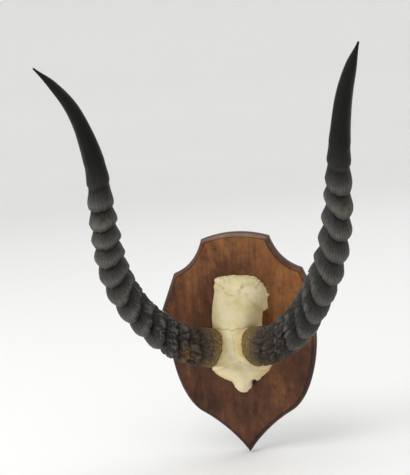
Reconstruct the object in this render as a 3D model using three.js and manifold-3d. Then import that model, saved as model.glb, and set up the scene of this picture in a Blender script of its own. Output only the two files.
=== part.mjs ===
import * as THREE from 'three';
import { mergeVertices } from 'three/addons/utils/BufferGeometryUtils.js';
import Module from 'manifold-3d';

const wasm = await Module();
wasm.setup();

// Driving dimensions, in millimetres.
// X runs to the right seen from the front, Y runs back into the wall and Z is up.
// The origin is on the back face of the board, midway between its top and its point.

// Clearance between touching pieces.
const gap = 0.3;

const board = {
  thickness: 18,
  halfHeight: 159,
  halfWidth: 112.5,
  edge: 6,
  edgeSteps: 3,
};

// The board's outline on the right, from the point at the bottom to the middle of the top.
const outline = {
  point: [0, -board.halfHeight],
  ogeeLow: [8, -146],
  ogeeHigh: [32, -117],
  hip: [64, -98.5],
  bellyLow: [95, -80],
  bellyHigh: [110, -12],
  notch: [103, 38],
  notchBend: [104, 47],
  ear: [board.halfWidth, 52],
  shoulder: [90.5, 104],
  scoop: [58, 116],
  corner: [47.5, 151],
  arch: [24, board.halfHeight],
  crest: [0, board.halfHeight],
};

// Points along each horn's middle line, from the base at the skull to the tip.
const hornLines = {
  left: [
    [-32, -58.5, 7], [-69, -83, 23.5], [-100.5, -103, 52.5], [-124.5, -118.5, 89.5], [-139, -129.5, 132.5],
    [-144, -139.5, 202], [-144.5, -150.5, 271.5], [-157, -173, 337.5], [-172.3, -192.2, 368.8],
    [-189, -208, 390.5],
  ],
  right: [
    [27.5, -67.5, 10.3], [61, -89, 23], [92.5, -108, 52], [117.5, -122.5, 89.5], [136.5, -133, 131.5],
    [149.5, -142, 188.5], [156, -152.5, 258.5], [166, -174.5, 324.5], [176.8, -193, 359.8],
    [187, -207, 384.5],
  ],
};

const horn = {
  // Radii at even steps from the base to the tip.
  radii: {
    left: [26.7, 24.5, 22.5, 20.9, 19.5, 18.8, 18.3, 17.8, 17, 15.9, 14.7, 13.4, 11.9, 9.8, 7.9, 5.4, 1.1],
    right: [26.7, 24.5, 22.5, 20.9, 19.5, 18.8, 18.3, 17.8, 17, 15.9, 14.7, 13.5, 12.3, 10.8, 9.3, 6.6, 1.1],
  },
  sides: 18,
  tipStations: 9,
  // Height of a ring over the sheath, at even steps from the base to where the rings end.
  ringHeights: [0.4, 1.6, 2.8, 3.3, 3.1, 2.6, 1.2, 0.3],
  ringsEnd: 345,
  // Towards the base, the rings' fronts turn further outward by this angle.
  frontTurn: THREE.MathUtils.degToRad(25),
  frontTurnEnd: 200,
  // The height of a ring at the back of the horn, as a share of its height at the front.
  backShare: 0.4,
};

// The rings of each horn. firstLip is the lowest lip's distance from the horn's base, and pitch the distance
// from lip to lip. A lip climbs by lowClimb from the front round to the back on the low rings and by
// highClimb on the high ones, and climbChange is where the low climb ends and the high one begins. outward
// is how far the rings' fronts face away from the midline, and slant how much higher a lip is on its side
// towards the midline than on the middle of the horn.
const ringing = {
  left: {
    firstLip: 22,
    pitch: 25.3,
    lowClimb: 44,
    highClimb: 8,
    climbChange: [95, 255],
    outward: THREE.MathUtils.degToRad(3),
    slant: 0,
  },
  right: {
    firstLip: 30,
    pitch: 26.6,
    lowClimb: 44,
    highClimb: 20,
    climbChange: [115, 180],
    outward: THREE.MathUtils.degToRad(12),
    slant: 6.5,
  },
};
// Where the slant of the lips fades out, from the base.
const slantFade = [250, 285];
// How far round the horn a lip stops climbing and starts again, and how high it is between, as shares.
const lipLevel = { from: 0.54, to: 0.64, height: 0.54 };

// One ring from its undercut to the next: distance as a share of the pitch, height as a share of the ring's.
const ringProfile = [[0, -1], [0.08, 0.5], [0.24, 1], [0.5, 0.35], [0.76, -0.6]];

// Half widths of the skull where it meets the board, from the nose up to the back of the head:
// [z, half width].
const skullRight = [
  [-67, 3.5], [-63, 8.6], [-59, 11.2], [-54, 12.4], [-50.5, 20.5], [-44, 28.5], [-39.4, 34.6], [-35, 38],
  [-31, 40], [-27, 41.5], [-15, 39], [5, 35], [25, 31], [37, 32], [50, 34], [62, 37.5], [72, 39],
  [81, 37.5], [88, 34], [93, 29], [97, 23], [100, 13],
];
const skullLeft = [
  [-67, 5.5], [-64, 9.8], [-59, 13.7], [-54.5, 16.2], [-50, 19], [-46, 31], [-42, 38], [-37, 43],
  [-33, 45], [-28, 44.5], [-15, 40], [5, 37], [25, 36.5], [48, 36.5], [62, 35], [72, 32.5], [81, 30.5],
  [87, 31.5], [94, 29], [98, 23], [100, 14],
];
// The thin broken flange along the skull's right edge, low by the board: [z, reach].
const skullFlange = [
  [-67, 0], [46, 0], [50, 6], [54, 6.2], [58, 5], [63, 3.6], [67, 3.4], [71, 5.8], [75, 2.2], [80, 1.6],
  [90, 1], [98, 0], [100, 0],
];
const flangeHeight = 0.4;
// The skull's ridge line over the board: [z, height].
const skullCrown = [
  [-67, 9], [-58, 15], [-48, 20], [-38, 26], [-28, 34], [-18, 45], [-8, 53], [8, 57], [24, 54], [42, 48],
  [62, 43], [80, 38], [90, 30], [96, 18], [100, 7],
];
// How square the skull's arch is: 2 is an ellipse, less is a tent, more is a box.
const skullArch = [[-67, 2.3], [-52, 1.8], [-38, 1.35], [-25, 1.5], [-5, 2], [20, 2.5], [100, 2.5]];
// Low swellings and hollows on the skull: [x, z, radius, height].
const skullBumps = [
  [-17, 89, 9, 3.5], [17, 90, 10, 3.5], [0, 90, 6, -2], [27, 66, 9, 3], [-10, -13, 7, -2.5],
  [9, -15, 7, -2.5], [0, 30, 14, 1.5],
];
const skull = { stations: 40, sides: 24, frontShare: 0.75 };

const pedicle = { length: 26, rootRadius: 19, rimRadius: 26.4, sides: 30, seatRadius: 29, seatDepth: 60 };

const hanger = {
  height: 118,
  length: 50,
  width: 17,
  thickness: 1.6,
  entryRadius: 4.8,
  slotRadius: 2.4,
  slotLength: 11,
  pocketDepth: 10,
  pocketMargin: 1,
  screwSpacing: 38,
};
const plateScrew = { headRadius: 3.4, shankRadius: 1.5, headDepth: 1.5, length: 13 };
const skullScrew = { headRadius: 4.8, shankRadius: 2.2, headDepth: 2.8, length: 36, heights: [58, -20] };
const screwSides = 14;
const screwSlot = { width: 0.9, depth: 0.8 };

const finish = {
  wood: { color: 0x5a2d1c, roughness: 0.45, metalness: 0 },
  bone: { color: 0xd8cca0, roughness: 0.7, metalness: 0 },
  horn: { color: 0x3c3a38, roughness: 0.55, metalness: 0 },
  brass: { color: 0xb08d4a, roughness: 0.35, metalness: 1 },
  steel: { color: 0x8c8c8a, roughness: 0.4, metalness: 1 },
};

// Solids

function toSolid(geometry) {
  const bare = geometry.clone();
  bare.deleteAttribute('normal');
  bare.deleteAttribute('uv');
  const merged = mergeVertices(bare, 1e-4);
  const mesh = new wasm.Mesh({
    numProp: 3,
    vertProperties: new Float32Array(merged.attributes.position.array),
    triVerts: new Uint32Array(merged.index.array),
  });
  return new wasm.Manifold(mesh);
}

function toGeometry(solid) {
  const { vertProperties, triVerts } = solid.getMesh();
  const geometry = new THREE.BufferGeometry();
  geometry.setAttribute('position', new THREE.BufferAttribute(new Float32Array(vertProperties), 3));
  geometry.setIndex(new THREE.BufferAttribute(new Uint32Array(triVerts), 1));
  geometry.computeVertexNormals();
  return geometry;
}

function makeMesh(name, solid, look) {
  const mesh = new THREE.Mesh(toGeometry(solid), new THREE.MeshStandardMaterial(look));
  mesh.name = name;
  return mesh;
}

// Turns a shape drawn as seen from the front, X to the right and Y up, so that it stands with its depth to
// the front.
function standUp(geometry) {
  return geometry.rotateX(Math.PI / 2);
}

function depthBox(width, height, near, far, middle) {
  const box = new THREE.BoxGeometry(width, far - near, height);
  return toSolid(box.translate(0, (near + far) / 2, middle));
}

// Reads a list of [position, value] points at one position, by straight lines between them.
function readList(points, position) {
  const next = points.findIndex(([place]) => place >= position);
  if (next <= 0) return points.at(next)[1];
  const [from, to] = [points[next - 1], points[next]];
  return THREE.MathUtils.mapLinear(position, from[0], to[0], from[1], to[1]);
}

// Reads a smooth curve through values given at even steps, at a share of its length from 0 to 1.
function readEven(values, share) {
  const curve = new THREE.SplineCurve(values.map((value, step) => new THREE.Vector2(step, value)));
  return curve.getPoint(THREE.MathUtils.clamp(share, 0, 1)).y;
}

// Board

function halfOutline() {
  const named = Object.entries(outline).map(([name, xy]) => [name, new THREE.Vector2(...xy)]);
  const at = Object.fromEntries(named);
  // Each stretch of the outline and the number of straight steps that it is drawn with.
  const stretches = [
    [new THREE.CubicBezierCurve(at.point, at.ogeeLow, at.ogeeHigh, at.hip), 5],
    [new THREE.CubicBezierCurve(at.hip, at.bellyLow, at.bellyHigh, at.notch), 11],
    [new THREE.QuadraticBezierCurve(at.notch, at.notchBend, at.ear), 3],
    [new THREE.LineCurve(at.ear, at.shoulder), 1],
    [new THREE.QuadraticBezierCurve(at.shoulder, at.scoop, at.corner), 8],
    [new THREE.QuadraticBezierCurve(at.corner, at.arch, at.crest), 4],
  ];
  return [at.point, ...stretches.flatMap(([curve, steps]) => curve.getPoints(steps).slice(1))];
}

function boardSolid() {
  const right = halfOutline();
  const left = right.slice(1, -1).reverse().map((point) => new THREE.Vector2(-point.x, point.y));
  const blank = new THREE.ExtrudeGeometry(new THREE.Shape([...right, ...left]), {
    depth: board.thickness - board.edge,
    bevelThickness: board.edge,
    bevelSize: board.edge,
    bevelOffset: -board.edge,
    bevelSegments: board.edgeSteps,
  });
  const reach = 4 * board.halfHeight;
  const front = depthBox(reach, reach, -board.thickness - board.edge, 0, 0);
  return toSolid(standUp(blank)).intersect(front);
}

// Horns

function hornCurve(side) {
  return new THREE.CatmullRomCurve3(hornLines[side].map((point) => new THREE.Vector3(...point)));
}

// Directions across the horn at even steps: to its front and towards the midline, carried along without
// twist.
function hornFrames(curve, steps) {
  const tangents = Array.from({ length: steps + 1 }, (_, step) => curve.getTangentAt(step / steps));
  const straight = Math.round(steps * 0.6);
  const fronts = [];
  fronts[straight] = new THREE.Vector3(0, -1, 0).projectOnPlane(tangents[straight]).normalize();
  for (let step = straight + 1; step <= steps; step += 1) {
    fronts[step] = fronts[step - 1].clone().projectOnPlane(tangents[step]).normalize();
  }
  for (let step = straight - 1; step >= 0; step -= 1) {
    fronts[step] = fronts[step + 1].clone().projectOnPlane(tangents[step]).normalize();
  }
  return { tangents, fronts };
}

// Places along the horn where its surface changes, each with the height of the ring there as a share.
function hornStations(side, length) {
  const { firstLip, pitch } = ringing[side];
  const stations = [[0, 0], [firstLip * 0.5, 0.4]];
  for (let lip = firstLip; lip < horn.ringsEnd; lip += pitch) {
    for (const [share, height] of ringProfile) stations.push([lip + share * pitch, height]);
  }
  const start = stations.at(-1)[0];
  for (let step = 1; step <= horn.tipStations; step += 1) {
    stations.push([start + (length - start) * (step / horn.tipStations), 0]);
  }
  return stations;
}

// How far a lip has climbed, from 0 at the front of the horn to 1 at its back. It runs level along the sides.
function lipClimb(turned) {
  const tongue = 1 - (1 - Math.min(turned / lipLevel.from, 1)) ** 1.3;
  return THREE.MathUtils.lerp(lipLevel.height * tongue, 1, THREE.MathUtils.smoothstep(turned, lipLevel.to, 1));
}

function hornSolid(side) {
  const curve = hornCurve(side);
  const length = curve.getLength();
  const steps = 240;
  const { fronts } = hornFrames(curve, steps);
  const stations = hornStations(side, length);
  const outward = side === 'right' ? 1 : -1;
  const tube = new THREE.CylinderGeometry(1, 1, stations.length - 1, horn.sides, stations.length - 1);
  const position = tube.attributes.position;
  const vertex = new THREE.Vector3();
  for (let index = 0; index < position.count; index += 1) {
    vertex.fromBufferAttribute(position, index);
    const row = Math.round(vertex.y + (stations.length - 1) / 2);
    const [place, height] = stations[row];
    const angle = Math.atan2(vertex.x, vertex.z);
    const rim = Math.hypot(vertex.x, vertex.z) > 0.5 ? 1 : 0;
    const atEnds = Math.min(place / (2 * ringing[side].pitch), (length - place) / 100, 1);
    const facing = (1 + Math.cos(angle)) / 2;
    const high = THREE.MathUtils.smoothstep(place, ...ringing[side].climbChange);
    const climb = THREE.MathUtils.lerp(ringing[side].lowClimb, ringing[side].highClimb, high);
    const slant = ringing[side].slant * (1 - THREE.MathUtils.smoothstep(place, ...slantFade));
    const rise = climb * lipClimb(1 - facing) - outward * slant * Math.sin(angle);
    const along = place + rise * atEnds * rim;
    const share = Math.min(along / length, 1);
    const around = THREE.MathUtils.lerp(horn.backShare, 1, Math.sqrt(facing));
    const ring = readEven(horn.ringHeights, place / horn.ringsEnd) * around;
    const radius = rim * (readEven(horn.radii[side], share) + height * ring);
    const lowTurn = horn.frontTurn * Math.max(0, 1 - along / horn.frontTurnEnd);
    const turn = angle + outward * (ringing[side].outward + lowTurn);
    const front = fronts[Math.round(share * steps)];
    const sideways = new THREE.Vector3().crossVectors(curve.getTangentAt(share), front);
    const middle = curve.getPointAt(share);
    middle.addScaledVector(front, radius * Math.cos(turn));
    middle.addScaledVector(sideways, radius * Math.sin(turn));
    position.setXYZ(index, middle.x, middle.y, middle.z);
  }
  return toSolid(tube);
}

// Skull

function skullCap() {
  const low = skullCrown[0][0];
  const high = skullCrown.at(-1)[0];
  const drum = new THREE.CylinderGeometry(1, 1, 1, skull.sides, skull.stations);
  const position = drum.attributes.position;
  const back = -board.thickness - gap;
  for (let index = 0; index < position.count; index += 1) {
    const z = THREE.MathUtils.lerp(low, high, position.getY(index) + 0.5);
    const turn = (Math.atan2(position.getX(index), position.getZ(index)) / (2 * Math.PI) + 1) % 1;
    const middle = Math.hypot(position.getX(index), position.getZ(index)) < 0.5;
    const crown = readList(skullCrown, z);
    const arch = 2 / readList(skullArch, z);
    let across = 1 - 2 * (turn - skull.frontShare) / (1 - skull.frontShare);
    let rise = 0;
    if (turn <= skull.frontShare) {
      const angle = Math.PI * turn / skull.frontShare;
      across = -Math.sign(Math.cos(angle)) * Math.abs(Math.cos(angle)) ** arch;
      rise = Math.abs(Math.sin(angle)) ** arch;
    }
    if (middle) [across, rise] = [0, 0.5];
    const flange = Math.max(0, 1 - rise / flangeHeight) * readList(skullFlange, z);
    const x = across * (across > 0 ? readList(skullRight, z) + flange : readList(skullLeft, z));
    const bumps = skullBumps.map(([bx, bz, radius, height]) => (
      height * Math.exp(-((x - bx) ** 2 + (z - bz) ** 2) / radius ** 2)
    ));
    const relief = Math.sqrt(rise) * bumps.reduce((sum, bump) => sum + bump, 0);
    position.setXYZ(index, x, back - rise * crown - relief, z);
  }
  return toSolid(drum);
}

// A round bar along the horn's first direction, from one distance to another, measured outward from its base.
function barAtHorn(side, from, to, fromRadius, toRadius) {
  const curve = hornCurve(side);
  const direction = curve.getTangentAt(0);
  const bar = new THREE.CylinderGeometry(toRadius, fromRadius, to - from, pedicle.sides);
  bar.translate(0, (from + to) / 2, 0);
  bar.applyQuaternion(new THREE.Quaternion().setFromUnitVectors(new THREE.Vector3(0, 1, 0), direction));
  const base = curve.getPointAt(0);
  return toSolid(bar.translate(base.x, base.y, base.z));
}

function skullSolid() {
  let bone = skullCap();
  for (const side of ['left', 'right']) {
    bone = bone.add(barAtHorn(side, -pedicle.length, 1, pedicle.rootRadius, pedicle.rimRadius));
  }
  for (const side of ['left', 'right']) {
    bone = bone.subtract(barAtHorn(side, -gap, pedicle.seatDepth, pedicle.seatRadius, pedicle.seatRadius));
  }
  return bone;
}

// Fixings at the back

// A countersunk wood screw driven in from the back, or the clearance cut for it when grown.
function screwSolid(size, height, flush, grow) {
  const neck = size.headDepth;
  const profile = [
    [0, flush + grow], [size.headRadius + grow, flush + grow], [size.headRadius + grow, flush],
    [size.shankRadius + grow, flush - neck], [size.shankRadius + grow, flush - size.length * 0.8],
    [0, flush - size.length - grow],
  ];
  const points = profile.map(([radius, y]) => new THREE.Vector2(radius, y)).reverse();
  const screw = new THREE.LatheGeometry(points, screwSides);
  return toSolid(screw.translate(0, 0, height));
}

function slottedScrew(size, height, flush) {
  const slot = depthBox(screwSlot.width, 3 * size.headRadius, flush - screwSlot.depth, flush + 1, height);
  return screwSolid(size, height, flush, 0).subtract(slot);
}

function plateBlank(grow, thickness) {
  const radius = hanger.width / 2 + grow;
  const reach = hanger.length / 2 - hanger.width / 2;
  const shape = new THREE.Shape();
  shape.absarc(0, -reach, radius, Math.PI, 2 * Math.PI);
  shape.absarc(0, reach, radius, 0, Math.PI);
  const blank = new THREE.ExtrudeGeometry(shape, { depth: thickness, bevelEnabled: false, curveSegments: 8 });
  return toSolid(standUp(blank).translate(0, 0, hanger.height));
}

function keyhole(growth, near, far) {
  const shape = new THREE.Shape();
  const half = hanger.slotLength / 2;
  const entry = hanger.entryRadius + growth;
  const slot = hanger.slotRadius + growth;
  const meet = Math.asin(slot / entry);
  shape.absarc(0, -half, entry, Math.PI / 2 + meet, 5 * Math.PI / 2 - meet);
  shape.absarc(0, half, slot, 0, Math.PI);
  const cut = new THREE.ExtrudeGeometry(shape, { depth: far - near, bevelEnabled: false, curveSegments: 10 });
  return toSolid(standUp(cut).translate(0, -near, hanger.height));
}

function hangerParts() {
  const half = hanger.screwSpacing / 2;
  const places = { hanger_screw_upper: hanger.height + half, hanger_screw_lower: hanger.height - half };
  let plate = plateBlank(0, hanger.thickness).subtract(keyhole(0, -1, hanger.thickness + 1));
  const screws = {};
  for (const [name, height] of Object.entries(places)) {
    plate = plate.subtract(screwSolid(plateScrew, height, 0, gap));
    screws[name] = slottedScrew(plateScrew, height, 0);
  }
  return { plate, screws, places };
}

// Assembly

const fixings = hangerParts();
const pocketWidth = 2 * (hanger.entryRadius + hanger.pocketMargin);
const pocketHeight = hanger.slotLength + pocketWidth;
let shield = boardSolid();
shield = shield.subtract(plateBlank(gap, hanger.thickness + gap + 1).translate(0, 1, 0));
shield = shield.subtract(depthBox(pocketWidth, pocketHeight, -hanger.pocketDepth, 1, hanger.height));
for (const height of Object.values(fixings.places)) {
  shield = shield.subtract(screwSolid(plateScrew, height, 0, gap));
}
let bone = skullSolid();
for (const height of skullScrew.heights) {
  const clearance = screwSolid(skullScrew, height, 0, gap);
  shield = shield.subtract(clearance);
  bone = bone.subtract(clearance);
}

const mount = new THREE.Group();
mount.add(makeMesh('shield', shield, finish.wood));
mount.add(makeMesh('skull_cap', bone, finish.bone));
mount.add(makeMesh('horn_left', hornSolid('left'), finish.horn));
mount.add(makeMesh('horn_right', hornSolid('right'), finish.horn));
mount.add(makeMesh('hanger_plate', fixings.plate, finish.brass));
for (const [name, solid] of Object.entries(fixings.screws)) {
  mount.add(makeMesh(name, solid, finish.brass));
}
mount.add(makeMesh('skull_screw_upper', slottedScrew(skullScrew, skullScrew.heights[0], 0), finish.steel));
mount.add(makeMesh('skull_screw_lower', slottedScrew(skullScrew, skullScrew.heights[1], 0), finish.steel));

export default mount;
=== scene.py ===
import math

import bmesh
import bpy
import numpy as np
from mathutils import Matrix, Vector, noise


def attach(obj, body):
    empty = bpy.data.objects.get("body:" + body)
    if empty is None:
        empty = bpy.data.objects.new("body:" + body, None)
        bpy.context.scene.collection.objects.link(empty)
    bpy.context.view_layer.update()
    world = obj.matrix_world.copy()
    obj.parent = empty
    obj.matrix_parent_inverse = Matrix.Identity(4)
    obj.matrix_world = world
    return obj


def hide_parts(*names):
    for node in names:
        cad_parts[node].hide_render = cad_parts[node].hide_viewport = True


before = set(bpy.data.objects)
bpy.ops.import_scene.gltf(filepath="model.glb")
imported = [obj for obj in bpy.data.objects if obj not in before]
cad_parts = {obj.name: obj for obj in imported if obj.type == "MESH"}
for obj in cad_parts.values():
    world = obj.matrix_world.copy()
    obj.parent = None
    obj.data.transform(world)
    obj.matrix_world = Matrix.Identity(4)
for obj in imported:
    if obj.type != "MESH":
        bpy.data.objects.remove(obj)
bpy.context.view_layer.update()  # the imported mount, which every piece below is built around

mm = 0.001
boardFront = -18 * mm  # the board's face, with its back at 0


# Curves and lists

def readEven(values, share):  # a smooth curve through values at even steps, read at shares from 0 to 1
    values = np.array(values, float)
    last = len(values) - 1
    place = np.clip(share, 0, 1) * last
    cell = np.clip(np.floor(place).astype(int), 0, last - 1)
    t = place - cell
    before, start, end, after = (values[np.clip(cell + step, 0, last)] for step in (-1, 0, 1, 2))
    leave, arrive = (end - before) / 2, (after - start) / 2
    cubic = 2 * start - 2 * end + leave + arrive
    square = 3 * end - 3 * start - 2 * leave - arrive
    return ((cubic * t + square) * t + leave) * t + start


def ease(low, high, value):  # 0 below low, 1 above high and smooth between
    t = np.clip((value - low) / (high - low), 0, 1)
    return t * t * (3 - 2 * t)


def readSoft(points, place, soften):  # straight lines between points, with their corners rounded
    points = np.array(points, float)
    steps, margin = 6, 4 * soften
    window = 2 * steps  # half the rounding window, in fine steps
    fine = np.arange(points[0, 0] - margin, points[-1, 0] + margin, soften / steps)
    values = np.interp(fine, points[:, 0], points[:, 1])
    weights = np.exp(-(np.arange(-window, window + 1) / steps) ** 2)
    values = np.convolve(np.pad(values, window, mode="edge"), weights / weights.sum(), mode="valid")
    return np.interp(place, fine, values)


def near(distance, width):  # 1 at no distance, and falls softly to almost nothing at twice the width
    return np.exp(-(distance / width) ** 2)


def relief(points, scale, octaves=3):  # smooth heights, about -1 to 1, of a fixed pattern
    smoothness, spacing = 0.8, 2.0
    return np.array([noise.fractal(point, smoothness, spacing, octaves, noise_basis="PERLIN_ORIGINAL")
                     for point in (points * scale).tolist()])


def lumps(points, scale, steepness=2.2):  # rounded knobs, 1 on top of a knob and 0 in the cracks between
    distances = np.array([noise.voronoi(point)[0][:2] for point in (points * scale).tolist()])
    return np.minimum(1.0, (distances[:, 1] - distances[:, 0]) * steepness)


def lineDistance(x, z, line):  # how far each place lies from a bent line, all in millimetres
    best = np.full(np.shape(x), 1e9)
    for (x0, z0), (x1, z1) in zip(line, line[1:]):
        span = (x1 - x0) ** 2 + (z1 - z0) ** 2
        t = np.clip(((x - x0) * (x1 - x0) + (z - z0) * (z1 - z0)) / span, 0, 1)
        best = np.minimum(best, np.hypot(x - x0 - t * (x1 - x0), z - z0 - t * (z1 - z0)))
    return best


# Meshes

def addObject(name, bm, *materials):
    mesh = bpy.data.meshes.new(name)
    bm.to_mesh(mesh)
    bm.free()
    piece = bpy.data.objects.new(name, mesh)
    bpy.context.scene.collection.objects.link(piece)
    for material in materials:
        mesh.materials.append(material)
    return piece


def extruded(bm, faces):  # extrudes faces and gives the new points
    made = bmesh.ops.extrude_face_region(bm, geom=faces)["geom"]
    return [item for item in made if isinstance(item, bmesh.types.BMVert)]


def place(piece, slot, *nodes):  # hangs a finished piece on the root body and hides the nodes it stands for; the slot is not used
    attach(piece, "root")
    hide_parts(*nodes)


def settle(piece):  # makes what the modifiers give the piece's own mesh
    bpy.context.view_layer.update()
    made = piece.evaluated_get(bpy.context.evaluated_depsgraph_get())
    mesh = bpy.data.meshes.new_from_object(made)
    mesh.name = piece.name
    piece.modifiers.clear()
    piece.data = mesh


def shadeSmooth(piece, sharpAngle=None):
    mesh = piece.data
    mesh.polygons.foreach_set("use_smooth", [True] * len(mesh.polygons))
    if sharpAngle:
        mesh.set_sharp_from_angle(angle=math.radians(sharpAngle))
    mesh.update()


# Materials

class Wire:  # a node's output, whose sums and products add Math nodes
    def __init__(self, tree, socket):
        self.tree, self.socket = tree, socket

    def math(self, operation, left, right, clamp=False):
        node = self.tree.nodes.new("ShaderNodeMath")
        node.operation, node.use_clamp = operation, clamp
        for slot, value in zip(node.inputs, (left, right)):
            if isinstance(value, Wire):
                self.tree.links.new(value.socket, slot)
            else:
                slot.default_value = value
        return Wire(self.tree, node.outputs[0])

    def __add__(self, other):
        return self.math("ADD", self, other)

    def __sub__(self, other):
        return self.math("SUBTRACT", self, other)

    def __rsub__(self, other):
        return self.math("SUBTRACT", other, self)

    def __mul__(self, other):
        return self.math("MULTIPLY", self, other)

    def __pow__(self, other):
        return self.math("POWER", self, other)

    def clamped(self):  # held between 0 and 1
        return self.math("ADD", self, 0.0, True)

    def sine(self):
        return self.math("SINE", self, 0.0)

    __radd__ = __add__
    __rmul__ = __mul__


class Finish:  # one material and its nodes
    inputNames = {
        "color": "Base Color", "roughness": "Roughness", "metallic": "Metallic", "normal": "Normal",
        "coat": "Coat Weight", "coatRoughness": "Coat Roughness", "specular": "Specular IOR Level",
    }

    def __init__(self, name, **fixed):
        self.material = bpy.data.materials.new(name)
        self.material.use_nodes = True
        self.tree = self.material.node_tree
        self.tree.nodes.clear()
        self.shader = self.tree.nodes.new("ShaderNodeBsdfPrincipled")
        output = self.tree.nodes.new("ShaderNodeOutputMaterial")
        self.tree.links.new(self.shader.outputs[0], output.inputs[0])
        self.set(**fixed)

    def set(self, **values):
        for key, value in values.items():
            self.feed(self.shader.inputs[self.inputNames[key]], value)

    def feed(self, slot, value):
        if isinstance(value, Wire):
            self.tree.links.new(value.socket, slot)
        elif slot.type == "RGBA" and len(value) == 3:
            slot.default_value = (*value, 1)
        else:
            slot.default_value = value

    def node(self, kind, settings=None, sockets=None, out=0):
        node = self.tree.nodes.new("ShaderNode" + kind)
        for key, value in (settings or {}).items():
            if key == "stops":
                ramp = node.color_ramp.elements
                while len(ramp) < len(value):
                    ramp.new(0.5)
                for stop, (position, colour) in zip(ramp, value):
                    stop.position, stop.color = position, (*colour, 1)
            else:
                setattr(node, key, value)
        for key, value in (sockets or {}).items():
            self.feed(node.inputs[key], value)
        return Wire(self.tree, node.outputs[out])

    def mix(self, factor, first, second):  # colours: the first at 0 and the second at 1
        return self.node("Mix", {"data_type": "RGBA"}, {0: factor, 6: first, 7: second}, 2)

    def noise(self, where, scale, detail, rough, warp=0.0):
        sockets = {"Vector": where, "Scale": scale, "Detail": detail, "Roughness": rough, "Distortion": warp}
        return self.node("TexNoise", {}, sockets)

    def stretch(self, where, scale):
        return self.node("Mapping", {}, {"Vector": where, "Scale": scale})

    def between(self, value, low, high):  # 0 at low, 1 at high and smooth between
        return self.node("MapRange", {"interpolation_type": "SMOOTHSTEP"}, {0: value, 1: low, 2: high})

    def distance(self, first, second):
        return self.node("VectorMath", {"operation": "DISTANCE"}, {0: first, 1: second}, 1)

    def part(self, vector, axis):
        return self.node("SeparateXYZ", {}, {0: vector}, "XYZ".index(axis))

    def bump(self, height, depth, strength=1.0):
        return self.node("Bump", {}, {"Height": height, "Distance": depth, "Strength": strength})

    def objectPlace(self):
        return self.node("TexCoord", {}, {}, 3)

    def attribute(self, name):
        return self.node("Attribute", {"attribute_name": name}, {}, 1)


# Camera and stage

camera = {
    "place": (0.2012, -1.1641, 0.3064),
    "turn": (82.59, 4.61, 11.28),  # degrees
    "lens": 64.42,
    "sensor": 36,
}


def addCamera():
    lens = bpy.data.cameras.new("camera")
    lens.lens, lens.sensor_width = camera["lens"], camera["sensor"]
    view = bpy.data.objects.new("camera", lens)
    view.location = camera["place"]
    view.rotation_euler = [math.radians(angle) for angle in camera["turn"]]
    bpy.context.scene.collection.objects.link(view)
    bpy.context.scene.camera = view


stage = {
    "floor": -0.1605,
    # the round floor's section, from near its middle to the top of the wall: out and up
    "profile": [(0.01, 0), (4.6, 0), (5.3, 0.08), (5.8, 0.35), (6.1, 0.85), (6.2, 1.5), (6.2, 2.4)],
    "steps": 96,
    "paint": {"color": (0.84, 0.84, 0.83), "roughness": 0.85, "specular": 0.2},
    "sky": (1.0, 1.0, 1.0),
    "skyStrength": 0.89,
    # place, aim, size and power
    "lights": {
        "ceilingLight": ((-0.6, -1.5, 2.6), (0, -0.1, 0.1), 1.6, 19),
        "windowLight": ((-2.6, -1.7, 1.2), (0, -0.1, 0.15), 1.6, 36),
        "roomLight": ((2.2, 1.8, 2.2), (0, 0, 0.1), 2.4, 10),
    },
}


def addStage():
    bm = bmesh.new()
    verts = [bm.verts.new((x, 0, z + stage["floor"])) for x, z in stage["profile"]]
    edges = [bm.edges.new(pair) for pair in zip(verts, verts[1:])]
    bmesh.ops.spin(bm, geom=verts + edges, cent=(0, 0, 0), axis=(0, 0, 1), angle=2 * math.pi,
                   steps=stage["steps"], use_merge=True, use_duplicate=False)
    inner = [vert for vert in bm.verts if math.hypot(vert.co.x, vert.co.y) < 2 * stage["profile"][0][0]]
    bmesh.ops.contextual_create(bm, geom=inner)
    bmesh.ops.recalc_face_normals(bm, faces=bm.faces)
    floor = addObject("stageFloor", bm, Finish("stagePaint", **stage["paint"]).material)
    floor.data.flip_normals()
    shadeSmooth(floor)


def addLight():
    sky = bpy.data.worlds.new("sky")
    sky.use_nodes = True
    light = sky.node_tree.nodes["Background"]
    light.inputs[0].default_value = (*stage["sky"], 1)
    light.inputs[1].default_value = stage["skyStrength"]
    bpy.context.scene.world = sky
    bpy.context.scene.view_settings.view_transform = "Standard"
    for name, (spot, aim, size, power) in stage["lights"].items():
        lamp = bpy.data.lights.new(name, "AREA")
        lamp.shape, lamp.size, lamp.energy = "DISK", size, power
        holder = bpy.data.objects.new(name, lamp)
        holder.location = spot
        holder.rotation_euler = (Vector(aim) - Vector(spot)).to_track_quat("-Z", "Y").to_euler()
        bpy.context.scene.collection.objects.link(holder)


addCamera()
addStage()
addLight()
print("camera and stage are set")


# Board

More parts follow.
